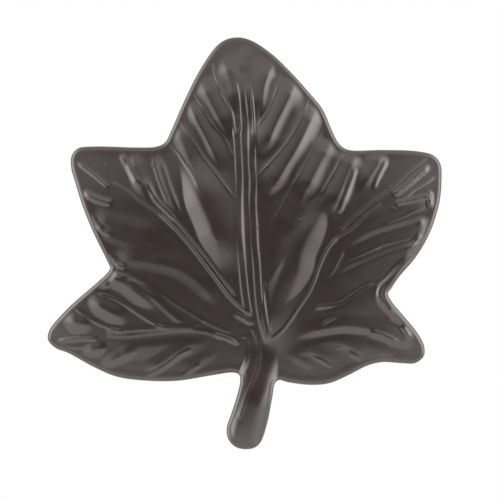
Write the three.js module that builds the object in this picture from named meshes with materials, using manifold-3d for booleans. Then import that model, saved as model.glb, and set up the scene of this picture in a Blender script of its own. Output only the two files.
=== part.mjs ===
// Leaf shaped pull for cabinet doors and drawers: one zinc die casting with a satin dark brown lacquer.
// Millimetres. The leaf stands upright, its veined face looks towards -Y and its two feet stand on y = 0.
import * as THREE from "three";
import { mergeVertices } from "three/addons/utils/BufferGeometryUtils.js";
import Module from "manifold-3d";

// sizes of the casting
const PROJECTION = 25; // drawer front to the face of the leaf at its middle
const BLADE = 3; // thickness of the blade between the veins
const LEAF_WIDTH = 73.1; // left tip to right tip
const LEAF_HEIGHT = 76.4; // tip of the top lobe to the end of the stalk
const DRAWN_WIDTH = 73.1; // the same two sizes as the points below were drawn
const DRAWN_HEIGHT = 76.4;
const ARCH = 3.4; // the lobes bend back by this much at REACH from the middle
const TIP_BEND = 0.3; // and the tips by this much more
const REACH = 38;
const EDGE_ROLL = 0.8; // radius of the rolled front edge
const BACK_ROLL = 0.6; // radius of the back edge
const EDGE_DRAFT = 0.15; // the edge wall leans in by this much towards the back
const CENTRES = 32; // distance between the two tapped posts
const FOOT_RADIUS = 4.2;
const ROOT_RADIUS = 4.8; // posts are thicker at the leaf
const ROOT_FILLET = 1.8;
const FOOT_CHAMFER = 0.4;
const TAP_RADIUS = 1.65; // tapping drill for M4
const TAP_DEPTH = 12;
const MOUTH = 0.6; // countersink of the tapped bore
const SUNK = 1.2; // how far a post root reaches into the blade

// how finely the surfaces are divided
const EDGE_SAMPLES = 236;
const ROLL_STEPS = 3;
const FACE_POINTS = 3150;
const CANDIDATE_STEP = 0.46;
const BACK_STEP = 4.2;
const PATH_STEP = 1.1;
const EDGE_CLEAR = 0.72; // places on the face keep this far from its edge ring
const LINE_CLEAR = 0.2; // and this far from the places along the lines
const POST_SIDES = 28;

// outline of the leaf, clockwise from the tip as seen from the front, x and z
const OUTLINE = [
  [-1.2, 36.7], [1.2, 36.1], [4.85, 33.7], [8.5, 30.2], [11.9, 26.4], [14.4, 23.3], [16.2, 19.2],
  [17.3, 17.1], [18.4, 16.1], [19.8, 15.7], [25.6, 15.8], [32, 15.56], [35, 14.8], [36.3, 13.2],
  [36.5, 10], [36, 5.6], [34.2, 0.2], [31.6, -4.2], [28.6, -7.7], [27.6, -9.1], [26.5, -10.8],
  [27.1, -12.2], [29.6, -15.2], [32.1, -18.3], [33.3, -20.7], [33.2, -22.5], [31.6, -23.8], [29, -23.8],
  [25.5, -23.6], [22.8, -24.2], [19.2, -26], [15.6, -27.5], [12.2, -27.8], [8, -27.3], [6.3, -26.9],
  [5.6, -27.4], [5.06, -30.1], [4.1, -35], [2.9, -38.4], [1.8, -39.4], [0, -39.7], [-1.9, -39.2],
  [-3.2, -37.6], [-3.4, -35.7], [-2.6, -33.2], [-1.4, -29.4], [-0.9, -27], [-1.1, -25.9], [-2.3, -25.5],
  [-6, -26], [-12.7, -27.05], [-18.7, -27], [-23.8, -26.3], [-27.9, -24.6], [-32.9, -21.9], [-35.2, -21],
  [-36.6, -19.5], [-36.4, -17.8], [-33.4, -14.1], [-27.9, -9.2], [-25.6, -7.1], [-25, -6.1], [-25.3, -5.3],
  [-28, 0.2], [-30, 5], [-31.4, 9.4], [-32.3, 12.6], [-32.2, 14.7], [-31, 16.1], [-28, 16.45],
  [-20, 16.25], [-16.4, 16.4], [-14.8, 17.2], [-13.7, 19.3], [-11.7, 23.9], [-8.5, 30.4], [-5.3, 35.05],
  [-3.5, 36.3],
];

// Thin raised lines: height, half width, points
const CRESTS = [
  // midrib above the place where its left bank begins
  [0.14, 0.36, [[-1.75, 28.6], [-1.2, 25.4], [-0.95, 21.5], [-0.8, 18.5]]],
  // upper left main vein
  [0.08, 0.3, [[-13.5, 3.5], [-10.9, 0.4], [-8.9, -2.1], [-6.9, -4.4], [-4.9, -7.1], [-3.4, -9.1], [-1.5, -11.3]]],
  [0.11, 0.34, [[-25, 9.9], [-22, 8.3], [-19, 6], [-16, 4], [-12.5, 0.7], [-10, -2.2], [-6, -7.5], [-2.5, -11.9],
    [0.4, -14.4]]],
  [0.18, 0.45, [[-31.2, 13.5], [-28.8, 11.7], [-26.8, 10.1], [-25, 8.6]]],
  // right main vein
  [0.12, 0.36, [[4.9, -19.4], [7, -17.5], [8.5, -15.5], [10.2, -13], [11.6, -11], [12.8, -8.5], [13.5, -6.5],
    [14.5, -4], [15.8, -1.8], [17.3, -0.3], [19.4, 0.9], [22.8, 3.9], [25.5, 6]]],
  [0.05, 0.4, [[17, 0], [18.5, 1.8], [22, 5], [27, 8.6], [31, 12.3], [34, 14.5]]],
  [0.18, 0.5, [[27.2, 7.1], [29.5, 8.75], [31, 10.05], [32.5, 11.45], [34.2, 12.9]]],
  [0.1, 0.38, [[28.7, 6], [30, 7.2], [31.5, 8.5], [33.5, 9.7], [35.4, 11]]],
  [0.14, 0.48, [[28.2, 5.6], [31.5, 6.6], [33.5, 7.1], [35, 7.4]]],
  // lower left main vein
  [0.06, 0.6, [[-26, -18.5], [-22, -18.6], [-18, -18.2], [-14, -17.8], [-10, -17.6], [-7, -17.9], [-4.5, -18.7],
    [-2.6, -19.4], [-0.8, -20]]],
  [0.16, 0.46, [[-34.8, -19.65], [-32, -19.25], [-30, -19.15], [-27.2, -19.35]]],
  // hub and stalk
  [0.06, 0.5, [[0.6, -18], [1.2, -21.3], [1, -23.4], [0.4, -24.8], [-0.6, -26]]],
  [0.1, 0.5, [[1, -16.6], [2, -18.5], [2.6, -21], [2.5, -24], [1.5, -27], [0.4, -29.5], [-0.4, -32], [-1.3, -34.4]]],
  // side veins of the top lobe
  [0.05, 0.3, [[2.2, 19.8], [3.2, 21.4], [4.2, 22.8], [5.2, 25.3], [6.4, 28.4], [7.1, 30.8]]],
  [0.05, 0.3, [[2.3, 10.8], [4.1, 12.8], [6.1, 15], [8, 17.4], [10, 20.7], [11.3, 24], [11.9, 25.9]]],
  [0.04, 0.3, [[3.4, -1], [5, 2], [8, 7.5], [11.7, 14.3], [13, 17], [14.9, 20.2]]],
  [0.07, 0.34, [[13.9, 7.2], [15.5, 10], [16.8, 12.2], [18.2, 15.4]]],
  [0.1, 0.36, [[-1.95, 17.5], [-2.1, 20], [-2.5, 22.5], [-3.3, 24.6], [-4.3, 26.6], [-5.3, 29], [-6.1, 32.1]]],
  [0.055, 0.32, [[-2.2, 14], [-3.4, 17.1], [-5, 19.6], [-7.5, 23.2], [-10, 26.9]]],
  [0.045, 0.32, [[-2.1, 7], [-4, 9.5], [-6, 12.2], [-7.6, 14.2], [-9.6, 17.2], [-11.3, 20], [-12.5, 21.6]]],
  [0.07, 0.36, [[-8.4, 8.4], [-9.8, 11.3], [-11, 13], [-12.9, 15.7], [-14.5, 17]]],
  // side veins of the upper left lobe
  [0.1, 0.6, [[-18.6, 10.4], [-17.4, 8.2], [-16.5, 6.6], [-15, 5], [-12.6, 2.6]]],
  [0.05, 0.36, [[-17.2, 14.8], [-16.6, 12], [-15.5, 8.7], [-14.2, 5.8]]],
  [0.22, 0.85, [[-23.5, 14.9], [-22, 12.3], [-21, 10.4], [-20.2, 9]]],
  [0.2, 1, [[-30.2, 8.1], [-28.5, 7.1], [-26.5, 6.3], [-24.4, 5.8]]],
  [0.13, 0.5, [[-28.8, 3.8], [-28.2, 2.4], [-27.3, 1.3], [-26, 0.5], [-24.6, 0]]],
  [0.05, 0.4, [[-25.2, -3.3], [-23, -3.4], [-20, -4.3]]],
  [0.16, 0.5, [[-25.3, -3.3], [-24.5, -4.6], [-23.4, -5.6], [-21.8, -6.1]]],
  [0.13, 0.42, [[-24.8, -7], [-22.2, -7.8]]],
  [0.04, 0.5, [[-21.5, -8.2], [-17, -10], [-13, -12.6], [-8, -15.6], [-4, -17.5], [-2.3, -18]]],
  // side veins of the lower left lobe
  [0.09, 0.8, [[-20.8, -10.3], [-18.3, -11.8], [-16.3, -13.3], [-13.3, -16]]],
  [0.06, 0.45, [[-27.5, -10.7], [-24, -11.9], [-21.5, -13.3], [-18.5, -15.3], [-16, -16.8], [-14.4, -17.3]]],
  [0.055, 0.36, [[-31.8, -13.6], [-30.5, -14.3], [-28, -15.9], [-26, -16.8], [-22.3, -18.3]]],
  [0.06, 0.45, [[-33.5, -20.7], [-31, -20.8], [-27.5, -20.5]]],
  [0.13, 0.55, [[-18.5, -26.3], [-15.9, -25], [-13.9, -23.7], [-12.4, -22.5], [-9.7, -21]]],
  [0.14, 0.6, [[-12.7, -26.9], [-10.9, -25.8], [-9.4, -24.6], [-8.1, -23.8]]],
  // side veins of the right lobe
  [0.17, 0.45, [[17.3, 3.7], [18, 5.6], [18.9, 7.9], [19.7, 10.1], [20.5, 12.6]]],
  [0.14, 0.42, [[23.8, 8.3], [24.7, 10.6], [25.4, 12.2], [26.3, 14.1]]],
  [0.06, 0.36, [[25.6, 2.1], [29, 3.3], [30.5, 4], [32, 4.7], [33.8, 5.3]]],
  [0.04, 0.42, [[18, -5], [22.5, -3.2], [25, -2], [29.5, -0.8], [32.2, -0.3]]],
  [0.1, 0.4, [[12.8, -14.1], [14.5, -12.1]]],
  // side veins of the lower right lobe
  [0.1, 0.4, [[13.8, -16.7], [15.5, -15.8], [17.3, -14.8]]],
  [0.1, 0.36, [[12.5, -22.5], [14, -23.2], [15, -23.8], [16.2, -24.6]]],
  [0.12, 0.6, [[19, -21.6], [20.2, -22.3], [21.7, -23.2]]],
];

// Flat topped bars: height, half width, points
const BANKS = [
  [0.11, 0.64, [[-1.5, 20], [-1.25, 15], [-1.05, 10], [-1.12, 6], [-1, 1], [-0.65, -4], [-0.2, -9], [0.25, -12.5],
    [0.75, -15.4]]],
  [0.11, 0.64, [[0.5, 28.2], [0.8, 25], [1.2, 21], [1.25, 16], [1.3, 13], [1.5, 10], [1.4, 6], [1.65, 1.5], [1.8, -2],
    [2.1, -5], [2.35, -9], [2.7, -13], [3, -15], [3.7, -18], [4.3, -19.5]]],
];
const BANK_SIDE = 0.2; // half the width of a bar's sloping side

// Pleats: height, width of the gentle side, width of the steep side, bend of the steep side, points of the fold, hand.
// Hand is -1 where the steep side lies to the right of the direction of the points and 1 where it lies to the left.
const PLEATS = [
  // top lobe, right half
  [0.5, 2.4, 2.2, 1.8, [[2.6, 21.4], [3.1, 23.5], [3.4, 26], [3.9, 28.5], [4.9, 30.8], [5.6, 32]], -1],
  [0.78, 4.6, 3, 1.9, [[3.7, 13.6], [4.9, 18.3], [6.2, 21.3], [7.7, 24.3], [9, 27.2], [9.6, 28.6]], -1],
  [0.62, 4.4, 2.6, 1.9, [[3.9, 6.5], [6, 9.8], [8, 13.3], [10.3, 17], [11.8, 20], [13, 22.5], [13.6, 23.8]], -1],
  [0.6, 4.4, 3, 1.6, [[5.9, -0.9], [8.4, 3], [11.2, 8], [12.8, 11], [14.3, 14], [15.3, 15.8], [15.8, 17]], -1],
  // top lobe, left half
  [0.62, 2.2, 2.4, 1.4, [[-2.1, 22], [-2.2, 25.5], [-2.6, 28.6], [-3.6, 31.2], [-4.3, 33]], 1],
  [0.7, 3.4, 2.8, 1.4, [[-2.7, 17.4], [-3.9, 19.9], [-5.2, 22.4], [-6.7, 25.3], [-8.4, 28.9]], 1],
  [0.46, 2.9, 1.5, 1.8, [[-4.05, 11.2], [-5.45, 14.2], [-7.05, 17.6], [-8.85, 21], [-10.6, 24.7]], 1],
  [0.3, 2.8, 1.5, 1.2, [[-6.1, 5.4], [-7.6, 8.4], [-9.3, 12], [-10.6, 14.6], [-12, 17.8], [-13.2, 20.2]], 1],
  // upper left lobe
  [0.32, 2.4, 1, 1.8, [[-11.2, 2.1], [-12.6, 5.5], [-13.8, 8.5], [-14.9, 11.9], [-16.2, 15.2]], -1],
  [0.4, 2.4, 2.6, 1.4, [[-17.5, 5.7], [-19.6, 9.6], [-20.6, 13], [-21, 15.4]], 1],
  [0.2, 4, 1.6, 1.3, [[-14.4, -1], [-18, -0.3], [-22, 0.7], [-25.5, 1.7], [-28.4, 3.3]], -1],
  [0.24, 4, 1.5, 1.5, [[-14.4, -3.3], [-18, -2.6], [-22, -1.6], [-25.2, -0.5], [-27.5, 0.8]], -1],
  [0.22, 4, 1.9, 1.2, [[-5.7, -15], [-8.4, -11.4], [-9.9, -9.9], [-13, -8], [-18, -6.7], [-22, -6], [-24.6, -4.9]], -1],
  // lower left lobe
  [0.4, 3, 1.8, 1.5, [[-16.8, -15.2], [-18.9, -13.8], [-21.3, -11.8], [-23.9, -10], [-26, -9.6]], -1],
  [0.42, 3, 1.7, 1.5, [[-22.4, -17.6], [-24.6, -16.4], [-27, -15], [-29, -13.8], [-30.8, -12.9]], -1],
  [0.5, 2.4, 2.4, 1.1, [[-28, -18.3], [-31, -17.6], [-33, -17.4], [-35, -17.9]], -1],
  [0.34, 2.2, 1.5, 1.4, [[-19, -21.9], [-21.8, -22.9], [-24, -23.9], [-26.4, -25.3]], -1],
  [0.34, 2.4, 1.3, 1.4, [[-8.6, -20.8], [-11.9, -22.6], [-13.9, -24], [-15.9, -25.2], [-18, -26.4]], -1],
  [0.26, 2.4, 1.3, 1.4, [[-4.4, -21.9], [-7.5, -23.7], [-9.2, -24.7], [-11.6, -26.3]], -1],
  [0.3, 1.8, 1.4, 1.4, [[-25, -21.6], [-27.2, -22], [-30, -22.8]], -1],
  // right lobe
  [0.5, 4, 1.5, 1.2, [[17.4, 3], [18.9, 5.6], [20, 8.1], [20.9, 10.2], [21.8, 12.3], [22.7, 15]], 1],
  [0.48, 3.6, 1.4, 1.2, [[23.4, 7.2], [24.8, 9.5], [26, 11.2], [27.1, 13.1], [28, 15]], 1],
  [0.32, 4.6, 1.5, 1.5, [[17.8, -3.4], [20, -2.1], [22.6, -0.7], [25, 0.3], [28, 1.2], [31, 2.1], [33.6, 2.9]], 1],
  [0.34, 5, 1.6, 1.5, [[15.4, -8.6], [19.5, -6.4], [22, -5.2], [24.5, -4.2], [27, -3.2], [29.5, -2.4], [32.6, -1.6]], 1],
  [0.3, 4.6, 1.4, 1.5, [[13.8, -14.1], [17.5, -13], [19.5, -11.6], [22, -10], [24, -9.1], [26, -8]], 1],
  [0.22, 4, 1.3, 1.5, [[20, 1.4], [23, 2.8], [26, 4], [29, 5], [32, 5.6], [34.6, 5.8]], 1],
  [0.16, 3, 1.2, 1.5, [[17, -10.2], [20, -8.3], [23, -6.9], [26, -5.7], [28.6, -4.8]], 1],
  // lower right lobe
  [0.42, 2.6, 1.4, 1.2, [[8, -20.2], [12.8, -18.9], [15.5, -18.3], [18, -18], [20.5, -18.2], [23, -18.9], [25.5, -19.6],
    [27.6, -20.7], [29.6, -21.7], [31.4, -22]], 1],
  [0.2, 2.6, 1.2, 1.5, [[8.2, -22.8], [11.4, -22.5], [14, -23.6], [16.4, -25.2]], 1],
  [0.3, 2.6, 1.3, 1.5, [[15.6, -20.8], [18.4, -21.3], [20.4, -22.4], [22.2, -23.8]], 1],
  [0.2, 2.6, 1.1, 1.5, [[6.6, -23], [8.7, -23.7], [10.6, -24.8], [12.4, -26.2]], 1],
  // the midrib fades out in two steps at the tip
  [0.2, 3, 1, 1, [[-0.5, 29.5], [-0.3, 35.4]], 1],
];

// Long flanks beside the upper main veins: height, width of the gentle side, width of the flank, points, hand.
// They narrow and sink towards both ends.
const FLANKS = [
  [0.95, 6, 2.7, [[-4.3, -8], [-4.9, -5], [-5.6, -2], [-6.6, 1.2], [-7.9, 4.9], [-9.4, 8.4], [-11, 12], [-11.8, 14]], 1],
  [0.62, 5, 2.6, [[5, -14.6], [7, -11.8], [8.3, -9], [9.3, -6.5], [10.3, -3.7], [11.9, -0.6], [13.6, 2.2], [15, 5]], -1],
  [0.5, 2, 2.2, [[4.2, -17], [4.9, -14.4], [5.6, -11], [6.6, -7.4], [7.8, -4]], 1],
];

// crown of the stalk: height, half width where it leaves the hub and at its end, points
const STALK = [1.3, 2.2, 4, [[3.1, -19], [2.9, -24], [2.1, -28.5], [0.9, -33.5], [-0.2, -37.6], [-0.4, -39]]];

// how the lines begin and end, measured along them
const CREST_END = 1.2;
const BANK_END = 1.2;
const PLEAT_START = 5; // pleats rise slowly from the vein
const PLEAT_END = 3;
const PLEAT_NARROW = 0.4; // part of its width a pleat keeps at its ends
const FLANK_END = 9;
const FLANK_NARROW = 0.2; // part of its width a flank keeps at its ends
const FOLD_SOFT = 0.2; // rounding of a fold, as a part of its height
const STALK_START = -1;
const STALK_FULL = 11;
// the edge: a slight rim all round, a raised wall inside the edge at the right, and relief fading out towards it
const RIM_LIFT = 0.12;
const RIM_WIDTH = 2;
const CUP_LIFT = 0.55;
const CUP_NEAR = 0.9;
const CUP_FAR = 2.1;
const CUP_LEFT = [20, 26]; // the wall grows between these in x
const CUP_TOP = [-3, -8]; // and between these in z at its two ends
const CUP_FOOT = [-22.5, -19];
const BAY = [26.4, -11]; // the wall keeps further in round this place
const BAY_REACH = 4.5;
const BAY_DEPTH = 0.9;
const FADE_IN = 0.6;
const FADE_FULL = 1.8;
// at the right notch the wall stands out a little behind the rolled edge
const NOTCH = [27, -9.9];
const NOTCH_REACH = 1.9;
const NOTCH_FLARE = 0.4;

const wide = (x) => (x * LEAF_WIDTH) / DRAWN_WIDTH;
const high = (z) => (z * LEAF_HEIGHT) / DRAWN_HEIGHT;
const v3 = (p) => new THREE.Vector3(wide(p[0]), 0, high(p[1]));
const ease = (a, b, t) => (a < b ? THREE.MathUtils.smoothstep(t, a, b) : 1 - THREE.MathUtils.smoothstep(t, b, a));
const bell = (t) => (Math.abs(t) < 1 ? 0.5 + 0.5 * Math.cos(Math.PI * t) : 0);
const bellAt = (centre, reach, x, z) => bell(Math.hypot(x - wide(centre[0]), z - high(centre[1])) / reach);

const outlineCurve = new THREE.CatmullRomCurve3(OUTLINE.map(v3), true, "centripetal");
outlineCurve.arcLengthDivisions = 2400;
const fine = outlineCurve.getSpacedPoints(3 * EDGE_SAMPLES);

function path(points) {
  const curve = new THREE.CatmullRomCurve3(points.map(v3), false, "centripetal");
  const count = Math.max(3, Math.ceil(curve.getLength() / PATH_STEP));
  return curve.getSpacedPoints(count);
}

// nearest place on a path: distance, side (1 on its left), how far along, whole length
function nearest(line, x, z) {
  let best = { gap: Infinity, side: 1, along: 0 };
  let run = 0;
  for (let i = 0; i + 1 < line.length; i++) {
    const a = line[i];
    const b = line[i + 1];
    const ux = b.x - a.x;
    const uz = b.z - a.z;
    const span = Math.hypot(ux, uz);
    const t = THREE.MathUtils.clamp(((x - a.x) * ux + (z - a.z) * uz) / (span * span), 0, 1);
    const gap = Math.hypot(x - a.x - t * ux, z - a.z - t * uz);
    if (gap < best.gap) best = { gap, side: Math.sign(ux * (z - a.z) - uz * (x - a.x)) || 1, along: run + t * span };
    run += span;
  }
  best.length = run;
  return best;
}

// section of a pleat: rises evenly over gentle, falls over steep, with a rounded fold between
function fold(across, gentle, steep, bend) {
  const rise = across > 0 ? 1 : bell(across / gentle);
  const fall = across > 0 ? Math.max(1 - across / steep, 0) ** bend : 1 - (bend * across) / steep;
  return Math.max((rise + fall - Math.hypot(rise - fall, FOLD_SOFT)) / 2, 0);
}

const ends = (n, first, last) => ease(0, first, n.along) * ease(0, last, n.length - n.along);
const crest = ([h, w, p]) => ({
  line: path(p),
  reach: w,
  rise: (n) => h * bell(n.gap / w) * ends(n, CREST_END, CREST_END),
});
const bank = ([h, w, p]) => ({
  line: path(p),
  reach: w + BANK_SIDE,
  rise: (n) => h * ease(w + BANK_SIDE, w - BANK_SIDE, n.gap) * ends(n, BANK_END, BANK_END),
});
const pleat = ([h, gentle, steep, bend, p, hand]) => ({
  line: path(p),
  reach: Math.max(gentle, steep),
  rise: (n) => {
    const full = ends(n, Math.min(PLEAT_START, 0.4 * n.length), Math.min(PLEAT_END, 0.4 * n.length));
    const width = steep * (PLEAT_NARROW + (1 - PLEAT_NARROW) * full);
    return h * fold(n.gap * n.side * hand, gentle, width, bend) * full;
  },
});
const flank = ([h, gentle, steep, p, hand]) => ({
  line: path(p),
  reach: Math.max(gentle, steep),
  rise: (n) => {
    const full = ends(n, FLANK_END, FLANK_END);
    const width = steep * (FLANK_NARROW + (1 - FLANK_NARROW) * full);
    return h * fold(n.gap * n.side * hand, gentle, width, 1) * full;
  },
});
const lines = [...CRESTS.map(crest), ...BANKS.map(bank), ...PLEATS.map(pleat), ...FLANKS.map(flank)];
for (const one of lines) one.box = new THREE.Box3().setFromPoints(one.line).expandByScalar(one.reach);
const stalkLine = path(STALK[3]);

function edgeDistance(x, z) {
  let best = Infinity;
  for (let i = 0; i + 1 < fine.length; i++) {
    const a = fine[i];
    const b = fine[i + 1];
    const ux = b.x - a.x;
    const uz = b.z - a.z;
    const t = THREE.MathUtils.clamp(((x - a.x) * ux + (z - a.z) * uz) / (ux * ux + uz * uz), 0, 1);
    best = Math.min(best, Math.hypot(x - a.x - t * ux, z - a.z - t * uz));
  }
  return best;
}

function arch(x, z) {
  const out = Math.hypot(x, z) / REACH;
  return -ARCH * out ** 2 - TIP_BEND * out ** 6;
}

// how far the veined face stands in front of the drawer
function face(x, z) {
  const inside = edgeDistance(x, z);
  const here = new THREE.Vector3(x, 0, z);
  let relief = 0;
  for (const { line, box, rise } of lines) if (box.containsPoint(here)) relief += rise(nearest(line, x, z));
  const [crown, slim, broad] = STALK;
  const stem = nearest(stalkLine, x, z);
  const grown = ease(STALK_START, STALK_FULL, stem.along);
  const half = slim + (broad - slim) * grown;
  const stalk = crown * grown * Math.max(1 - (stem.gap / half) ** 4, 0);
  const cupped = ease(...CUP_LEFT.map(wide), x) * ease(...CUP_TOP.map(high), z) * ease(...CUP_FOOT.map(high), z);
  const bay = BAY_DEPTH * bellAt(BAY, BAY_REACH, x, z);
  const rim = RIM_LIFT * ease(RIM_WIDTH, EDGE_ROLL, inside);
  const cup = CUP_LIFT * cupped * ease(CUP_FAR, CUP_NEAR, inside - bay);
  return PROJECTION + arch(x, z) + ease(FADE_IN, FADE_FULL, inside) * relief + stalk + rim + cup;
}
const back = (x, z) => PROJECTION - BLADE + arch(x, z);

// signed area test: is the place inside the closed ring
function within(ring, x, z) {
  let hit = false;
  for (let i = 0, j = ring.length - 1; i < ring.length; j = i++) {
    const a = ring[i];
    const b = ring[j];
    if (a[1] > z !== b[1] > z && x < ((b[0] - a[0]) * (z - a[1])) / (b[1] - a[1]) + a[0]) hit = !hit;
  }
  return hit;
}

function circle(a, b, c) {
  const d = 2 * (a[0] * (b[1] - c[1]) + b[0] * (c[1] - a[1]) + c[0] * (a[1] - b[1]));
  const aa = a[0] * a[0] + a[1] * a[1];
  const bb = b[0] * b[0] + b[1] * b[1];
  const cc = c[0] * c[0] + c[1] * c[1];
  const x = (aa * (b[1] - c[1]) + bb * (c[1] - a[1]) + cc * (a[1] - b[1])) / d;
  const z = (aa * (c[0] - b[0]) + bb * (a[0] - c[0]) + cc * (b[0] - a[0])) / d;
  return [x, z, (a[0] - x) ** 2 + (a[1] - z) ** 2];
}

// Divides the inside of a ring into triangles. The ring and the fixed points go in first, then the
// places where the surface is furthest from the triangles, until the number of points is reached.
function divide(ring, fixed, wanted, limit) {
  // a triangle far outside everything to begin with
  const far = 4 * Math.max(LEAF_WIDTH, LEAF_HEIGHT);
  const pts = [[-far, -far, 0], [far, -far, 0], [0, far, 0]];
  let tris = [];
  const shape = (a, b, c, pool) => {
    const tri = { v: [a, b, c], o: circle(pts[a], pts[b], pts[c]), pool: [], far: 0, pick: null };
    const [p, q, r] = [pts[a], pts[b], pts[c]];
    const det = (q[1] - r[1]) * (p[0] - r[0]) + (r[0] - q[0]) * (p[1] - r[1]);
    for (const w of pool) {
      const l0 = ((q[1] - r[1]) * (w[0] - r[0]) + (r[0] - q[0]) * (w[1] - r[1])) / det;
      const l1 = ((r[1] - p[1]) * (w[0] - r[0]) + (p[0] - r[0]) * (w[1] - r[1])) / det;
      const l2 = 1 - l0 - l1;
      if (l0 < -1e-9 || l1 < -1e-9 || l2 < -1e-9) continue;
      tri.pool.push(w);
      const miss = Math.abs(w[2] - l0 * p[2] - l1 * q[2] - l2 * r[2]);
      if (miss > tri.far) {
        tri.far = miss;
        tri.pick = w;
      }
    }
    return tri;
  };
  const insert = (p) => {
    const gone = [];
    const kept = [];
    for (const t of tris) {
      if ((p[0] - t.o[0]) ** 2 + (p[1] - t.o[1]) ** 2 < t.o[2] - 1e-9) gone.push(t);
      else kept.push(t);
    }
    const rims = new Map();
    for (const t of gone) {
      for (let k = 0; k < 3; k++) {
        const a = t.v[k];
        const b = t.v[(k + 1) % 3];
        if (rims.has(b * 1e6 + a)) rims.delete(b * 1e6 + a);
        else rims.set(a * 1e6 + b, [a, b]);
      }
    }
    const pool = new Set();
    for (const t of gone) for (const w of t.pool) if (w !== p) pool.add(w);
    const id = pts.push(p) - 1;
    for (const [a, b] of rims.values()) {
      const tri = shape(a, b, id, pool);
      for (const w of tri.pool) pool.delete(w);
      kept.push(tri);
    }
    tris = kept;
  };
  tris.push(shape(0, 1, 2, wanted));
  for (const p of ring) insert(p);
  for (const p of fixed) insert(p);
  while (pts.length - 3 < limit) {
    let worst = null;
    for (const t of tris) if (t.pick && t.v.every((i) => i > 2) && (!worst || t.far > worst.far)) worst = t;
    if (!worst) break;
    insert(worst.pick);
  }
  const faces = [];
  for (const t of tris) {
    if (t.v.some((i) => i < 3)) continue;
    const mid = [0, 1].map((k) => (pts[t.v[0]][k] + pts[t.v[1]][k] + pts[t.v[2]][k]) / 3);
    if (within(ring, mid[0], mid[1])) faces.push(t.v.map((i) => i - 3));
  }
  return { pts: pts.slice(3), faces };
}

function ringDistance(ring, x, z) {
  let best = Infinity;
  for (let i = 0, j = ring.length - 1; i < ring.length; j = i++) {
    const ux = ring[i][0] - ring[j][0];
    const uz = ring[i][1] - ring[j][1];
    const t = THREE.MathUtils.clamp(((x - ring[j][0]) * ux + (z - ring[j][1]) * uz) / (ux * ux + uz * uz), 0, 1);
    best = Math.min(best, Math.hypot(x - ring[j][0] - t * ux, z - ring[j][1] - t * uz));
  }
  return best;
}

// staggered rows of places inside a ring, kept clear of it; each is nudged so that no four share a circle
function fill(ring, step, clear) {
  const out = [];
  const rise = step * Math.sqrt(0.75);
  const xs = ring.map((p) => p[0]);
  const zs = ring.map((p) => p[1]);
  const [left, low] = [Math.min(...xs), Math.min(...zs)];
  for (let row = 0; low + row * rise < Math.max(...zs); row++) {
    for (let column = 0; left + column * step < Math.max(...xs); column++) {
      const x = left + (column + (row % 2) * 0.5 + 0.11 * Math.sin(1.7 * column + 2.3 * row)) * step;
      const z = low + (row + 0.11 * Math.sin(2.9 * column - 1.3 * row)) * rise;
      if (!within(ring, x, z)) continue;
      if (ringDistance(ring, x, z) < clear) continue;
      out.push([x, z]);
    }
  }
  return out;
}

// rings of the edge, from the front roll to the back
const spaced = outlineCurve.getSpacedPoints(EDGE_SAMPLES).slice(0, EDGE_SAMPLES);
const normals = spaced.map((p, i) => {
  const t = outlineCurve.getTangentAt(i / EDGE_SAMPLES);
  return [-t.z, t.x];
});
// the outline runs clockwise, so its outer side is on the left of its direction
const ringAt = (offset) => spaced.map((p, i) => [p.x + normals[i][0] * offset(i), p.z + normals[i][1] * offset(i)]);

const frontRing = ringAt(() => -EDGE_ROLL).map(([x, z]) => [x, z, face(x, z)]);
const flare = spaced.map((p) => NOTCH_FLARE * bellAt(NOTCH, NOTCH_REACH, p.x, p.z));
const rows = [frontRing];
for (let k = 1; k <= ROLL_STEPS; k++) {
  const turn = ((Math.PI / 2) * k) / ROLL_STEPS;
  const ring = ringAt(() => -EDGE_ROLL + EDGE_ROLL * Math.sin(turn));
  rows.push(ring.map(([x, z], i) => [x, z, frontRing[i][2] - EDGE_ROLL * (1 - Math.cos(turn))]));
}
const wallRing = ringAt((i) => flare[i] - EDGE_DRAFT);
rows.push(wallRing.map(([x, z]) => [x, z, back(x, z) + BACK_ROLL]));
const backRing = ringAt((i) => flare[i] - EDGE_DRAFT - BACK_ROLL);
rows.push(backRing.map(([x, z]) => [x, z, back(x, z)]));

const clearOf = (points, x, z, least) => !points.some((p) => Math.hypot(p[0] - x, p[1] - z) < least);
const candidates = fill(frontRing, CANDIDATE_STEP, EDGE_CLEAR).map(([x, z]) => [x, z, face(x, z)]);
const linePoints = [];
for (const { line } of lines) {
  for (const p of line) {
    if (!within(frontRing, p.x, p.z) || ringDistance(frontRing, p.x, p.z) < EDGE_CLEAR) continue;
    if (clearOf(linePoints, p.x, p.z, 1.5 * LINE_CLEAR)) linePoints.push([p.x, p.z, face(p.x, p.z)]);
  }
}
const places = [...linePoints, ...candidates.filter(([x, z]) => clearOf(linePoints, x, z, LINE_CLEAR))];
const front = divide(frontRing, [], places, FACE_POINTS);
const lastRow = rows[rows.length - 1];
const hollow = fill(lastRow, BACK_STEP, 1.6).map(([x, z]) => [x, z, back(x, z)]);
const rear = divide(lastRow, hollow, [], 0);

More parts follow.
